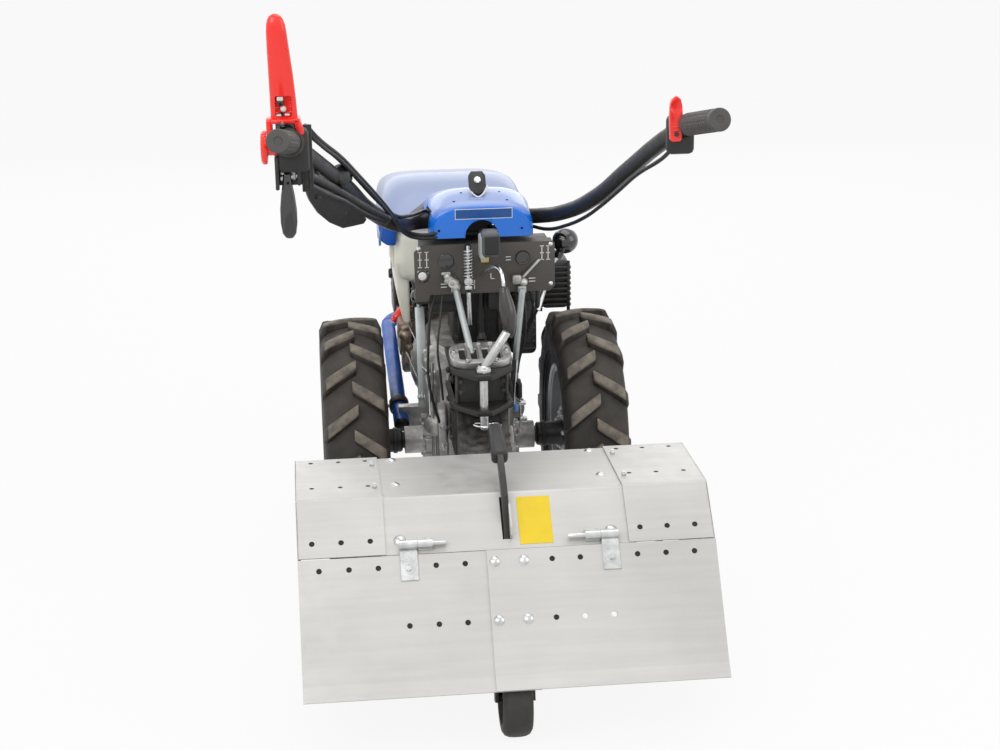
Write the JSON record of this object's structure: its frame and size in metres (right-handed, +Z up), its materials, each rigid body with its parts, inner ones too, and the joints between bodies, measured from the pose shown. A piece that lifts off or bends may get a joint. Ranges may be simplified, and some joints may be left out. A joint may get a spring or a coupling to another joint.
{
  "type": "walking tractor with rear rotary tiller",
  "caption": "Two-wheel walking tractor with lugged tyres, engine under a blue bonnet, turning handlebar with levers, and a rear rotary tiller with hinged flap and depth wheel.",
  "frame": {"origin": "on the floor, at the middle of the underside of the whole machine's box; the axle is 138 mm ahead of it and the machine's middle plane 8 mm to its right", "axes": "+Z up, +Y the driving direction, from the operator towards the engine, +X the operator's right"},
  "size_m": [0.726, 1.5331, 1.2196],
  "materials": {
    "blue_plastic": "gloss",
    "blue_paint": "gloss",
    "cream_tank": "satin",
    "bare_sheet": "satin",
    "zinc_plate": "satin",
    "cast_alloy": "matte",
    "engine_metal": "matte",
    "black_paint": "satin",
    "console_grey": "matte",
    "black_plastic": "satin",
    "tyre_rubber": "matte",
    "grip_rubber": "matte",
    "red_plastic": "satin",
    "tine_steel": "matte"
  },
  "bodies": {
    "chassis": {"gearbox": "cast_alloy", "engine_block": "engine_metal", "recoil_starter": "black_plastic", "fuel_tank": "cream_tank", "muffler": "black_paint", "air_cleaner": "black_plastic", "bonnet": "blue_plastic", "left_rail": "blue_paint", "right_rail": "blue_paint", "front_bow": "blue_paint", "hitch_housing": "black_paint", "hitch_pin": "zinc_plate", "gate_ring": "zinc_plate", "column_base": "black_paint", "console_panel": "console_grey", "gear_lever": "black_paint", "spring_rod": "zinc_plate", "hook_lever": "grip_rubber", "pto_lever": "black_paint", "lock_lever": "zinc_plate", "left_selector": "zinc_plate", "right_selector": "zinc_plate", "tiller_case": "black_paint", "hood_centre": "bare_sheet", "hood_left": "bare_sheet", "hood_right": "bare_sheet", "hinge_left": "zinc_plate", "hinge_right": "zinc_plate", "depth_lever": "black_paint"},
    "left_wheel": {"left_tyre": "tyre_rubber", "left_rim": "cast_alloy", "left_hub": "black_paint"},
    "right_wheel": {"right_tyre": "tyre_rubber", "right_rim": "cast_alloy", "right_hub": "black_paint"},
    "handle_column": {"steering_column": "black_paint"},
    "handlebar": {"handlebar_head": "black_paint", "cowl": "blue_plastic", "latch_plate": "black_paint", "left_arm": "black_paint", "right_arm": "black_paint", "left_grip": "grip_rubber", "right_grip": "grip_rubber", "left_clamp": "black_paint", "right_clamp": "black_paint", "clutch_lever": "red_plastic", "stop_switch": "red_plastic", "hand_brake": "black_paint", "arm_shield": "black_paint", "throttle_lever": "red_plastic", "left_cable": "black_plastic", "right_cable": "black_plastic"},
    "rear_flap": {"flap_left": "bare_sheet", "flap_right": "bare_sheet"},
    "tiller_rotor": {"rotor": "tine_steel"},
    "depth_wheel": {"depth_wheel": "tyre_rubber"}
  },
  "joints": [
    {"name": "left_wheel_spin", "type": "hinge", "parent": "chassis", "child": "left_wheel", "pos_m": [-0.227, 0.138, 0.255], "axis": [1, 0, 0], "continuous": true},
    {"name": "right_wheel_spin", "type": "hinge", "parent": "chassis", "child": "right_wheel", "pos_m": [0.243, 0.138, 0.255], "axis": [1, 0, 0], "continuous": true},
    {"name": "rotor_spin", "type": "hinge", "parent": "chassis", "child": "tiller_rotor", "pos_m": [0.008, -0.437, 0.19], "axis": [1, 0, 0], "continuous": true},
    {"name": "depth_wheel_spin", "type": "hinge", "parent": "chassis", "child": "depth_wheel", "pos_m": [0.008, -0.658, 0.068], "axis": [1, 0, 0], "continuous": true},
    {"name": "rear_flap_hinge", "type": "hinge", "parent": "chassis", "child": "rear_flap", "pos_m": [0.008, -0.58125, 0.32321], "axis": [-1, 0, 0], "range_deg": [0, 75]},
    {"name": "handlebar_swing", "type": "hinge", "parent": "chassis", "child": "handle_column", "pos_m": [0.023, 0.098, 0.6], "axis": [0, 0, 1], "range_deg": [-10, 10]},
    {"name": "handlebar_tilt", "type": "hinge", "parent": "handle_column", "child": "handlebar", "pos_m": [0.023, 0.098, 0.735], "axis": [-1, 0, 0], "range_deg": [0, 14]}
  ]
}
